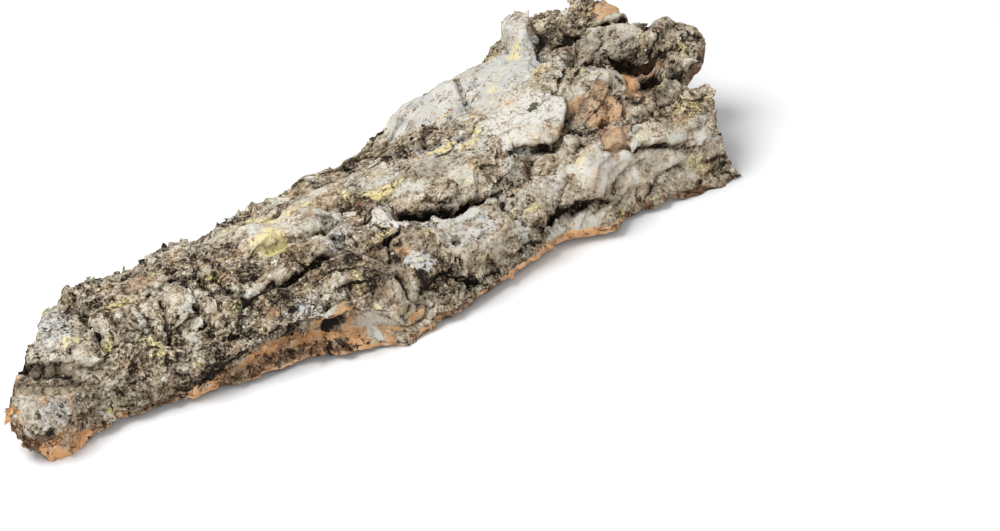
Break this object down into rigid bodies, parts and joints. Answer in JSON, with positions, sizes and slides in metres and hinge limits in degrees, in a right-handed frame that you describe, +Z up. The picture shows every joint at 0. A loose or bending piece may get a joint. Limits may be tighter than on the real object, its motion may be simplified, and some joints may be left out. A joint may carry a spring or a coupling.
{
  "type": "cork bark panel",
  "caption": "Curved slab of natural cork bark with a rough, lichen-spotted outer face over a smooth open hollow, laid down as a hide, ramp or display backdrop.",
  "frame": {"origin": "middle of the footprint on the surface that the slab lies on", "axes": "+X along the slab towards its wide end, +Y across it from the near long edge, +Z up out of the bark side"},
  "size_m": [0.4316, 0.1848, 0.064],
  "materials": {
    "cork_bark": "matt, rough"
  },
  "bodies": {
    "root": {"cork_bark_panel": "cork_bark"}
  },
  "joints": []
}
